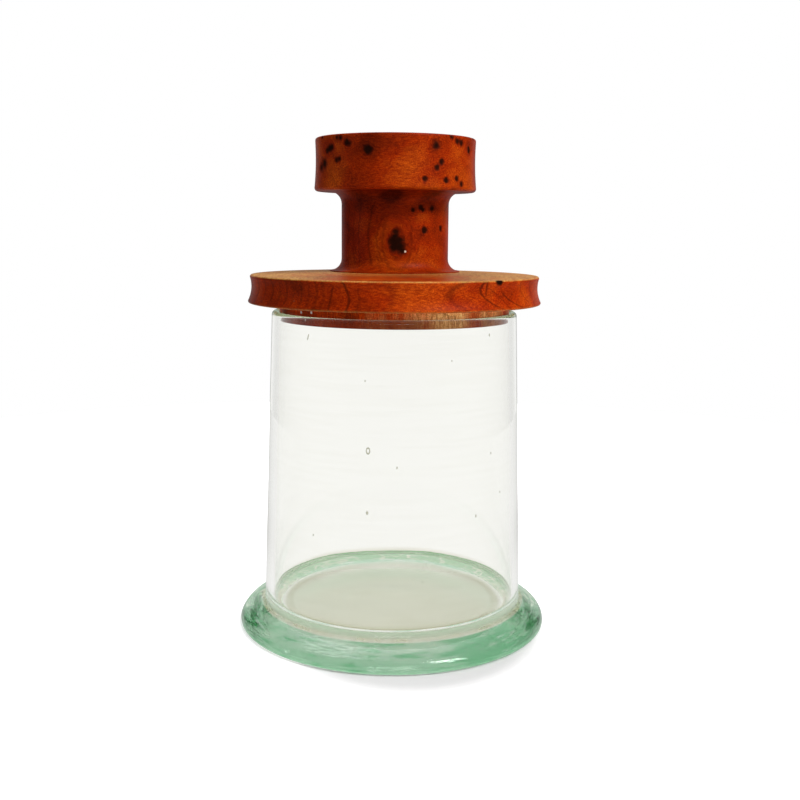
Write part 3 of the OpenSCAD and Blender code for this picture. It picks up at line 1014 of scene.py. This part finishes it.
# Straight through the glass the table is shaded under the jar, with a ring of light from the foot
under_in_r = 55
under_out_r = 80
ring_of_light_r = 51.8
ring_core = 0.6
ring_blur = 2.2
table_lit = ranged(table_tree, table_reach, under_in_r * mm, under_out_r * mm)
table_colour = mixed(table_tree, table_lit, shaded_olive, white)
table_ring_off = off_by(table_tree, table_reach, ring_of_light_r * mm)
table_ring = ranged(table_tree, table_ring_off, ring_core * mm, ring_blur * mm, 0.95, 0.0)
table_colour = mixed(table_tree, table_ring, table_colour, white)
table_clear = shader_node(table_tree, "ShaderNodeEmission", {"Color": table_colour, "Strength": 1.0})
table_bent = sum_up(table_tree, "MINIMUM", table_path.outputs["Glossy Depth"], 1.0)
table_through = sum_up(
    table_tree, "SUBTRACT", table_path.outputs["Is Transmission Ray"], table_bent, clamp=True)
table_seen = shader_node(table_tree, "ShaderNodeMixShader", {
    0: table_through, 1: table_mix.outputs[0], 2: table_clear.outputs[0]})
table_tree.links.new(table_seen.outputs[0], table_tree.nodes["Material Output"].inputs["Surface"])
table_top.data.materials.append(table_white)


# The studio is a white backdrop behind the jar, and a darker room behind the camera that only the
# varnish and the glass reflect. A softbox high on the right, a low window below it, a small window on
# the left and a broad light above give the plain soft light.
room_light = 0.22
studio = bpy.data.worlds.new("studio")
studio.use_nodes = True
studio.node_tree.nodes.clear()
bpy.context.scene.world = studio
studio_tree = studio.node_tree
studio_way = shader_node(studio_tree, "ShaderNodeTexCoord").outputs["Generated"]
studio_parts = shader_node(studio_tree, "ShaderNodeSeparateXYZ", {0: studio_way})
studio_y = studio_parts.outputs["Y"]
studio_wide = ranged(studio_tree, studio_y, -0.85, 0.0, 0.30, 0.95)
studio_narrow = sum_up(
    studio_tree, "MULTIPLY", ranged(studio_tree, studio_y, 0.70, 0.96, 0.03, 1.0),
    ranged(studio_tree, studio_y, 0.90, 0.97, 1.0, 0.30))

# A low window in front, which only shows as a glint on the foot
window_x = 0.02
window_glow = 5.0
window_off = off_by(studio_tree, studio_parts.outputs["X"], window_x)
window_low = ranged(studio_tree, studio_parts.outputs["Z"], 0.10, 0.14)
window_high = ranged(studio_tree, studio_parts.outputs["Z"], 0.36, 0.44, 1.0, 0.0)
window_wide = ranged(studio_tree, window_off, 0.24, 0.30, 1.0, 0.0)
window_front = ranged(studio_tree, studio_y, -0.70, -0.60, window_glow, 0.0)
window_tall = sum_up(studio_tree, "MULTIPLY", window_low, window_high)
window_pane = sum_up(
    studio_tree, "MULTIPLY", window_tall, sum_up(studio_tree, "MULTIPLY", window_wide, window_front))
studio_narrow = sum_up(studio_tree, "ADD", studio_narrow, window_pane)

studio_path = shader_node(studio_tree, "ShaderNodeLightPath")
studio_inner = sum_up(studio_tree, "MINIMUM", studio_path.outputs["Glossy Depth"], 1.0)
studio_through = sum_up(
    studio_tree, "SUBTRACT", studio_path.outputs["Is Transmission Ray"], studio_inner, clamp=True)
studio_clear = sum_up(studio_tree, "MAXIMUM", studio_path.outputs["Is Camera Ray"], studio_through)
studio_shown = sum_up(studio_tree, "MAXIMUM", studio_clear, studio_path.outputs["Is Glossy Ray"])
studio_mirror = shader_node(studio_tree, "ShaderNodeMix", {
    0: studio_path.outputs["Is Transmission Ray"], 2: studio_narrow, 3: studio_wide}).outputs[0]
studio_white = sum_up(studio_tree, "MAXIMUM", studio_clear, studio_mirror)
studio_level = shader_node(
    studio_tree, "ShaderNodeMix", {0: studio_shown, 2: room_light, 3: studio_white}).outputs[0]
studio_light = shader_node(studio_tree, "ShaderNodeBackground", {"Color": white, "Strength": studio_level})
studio_out = shader_node(studio_tree, "ShaderNodeOutputWorld")
studio_tree.links.new(studio_light.outputs[0], studio_out.inputs["Surface"])

aim_place = Vector((0, 0, 0.13))


def soft_light(name, azimuth, distance, height, width, tall, watts):
    """An area light that faces the jar. Azimuth 0 is the camera's side and 90 the right."""
    light_data = bpy.data.lights.new(name, "AREA")
    light_data.shape = "RECTANGLE"
    light_data.size = width
    light_data.size_y = tall
    light_data.energy = watts
    light = bpy.data.objects.new(name, light_data)
    light.visible_transmission = False
    bpy.context.collection.objects.link(light)
    angle = math.radians(azimuth)
    light.location = (math.sin(angle) * distance, -math.cos(angle) * distance, height)
    aim = aim_place - light.location
    light.rotation_euler = aim.to_track_quat("-Z", "Y").to_euler()
    return light


soft_light("softbox_right", azimuth=50, distance=0.95, height=1.05, width=0.48, tall=0.40, watts=14.0)
soft_light("window_left", azimuth=-78, distance=0.80, height=0.22, width=0.06, tall=0.06, watts=0.12)
soft_light("top_light", azimuth=-150, distance=0.30, height=1.10, width=0.70, tall=0.70, watts=4.0)
low_light = soft_light(
    "window_right", azimuth=48, distance=0.90, height=0.10, width=0.25, tall=0.20, watts=1.4)
low_light.visible_glossy = False
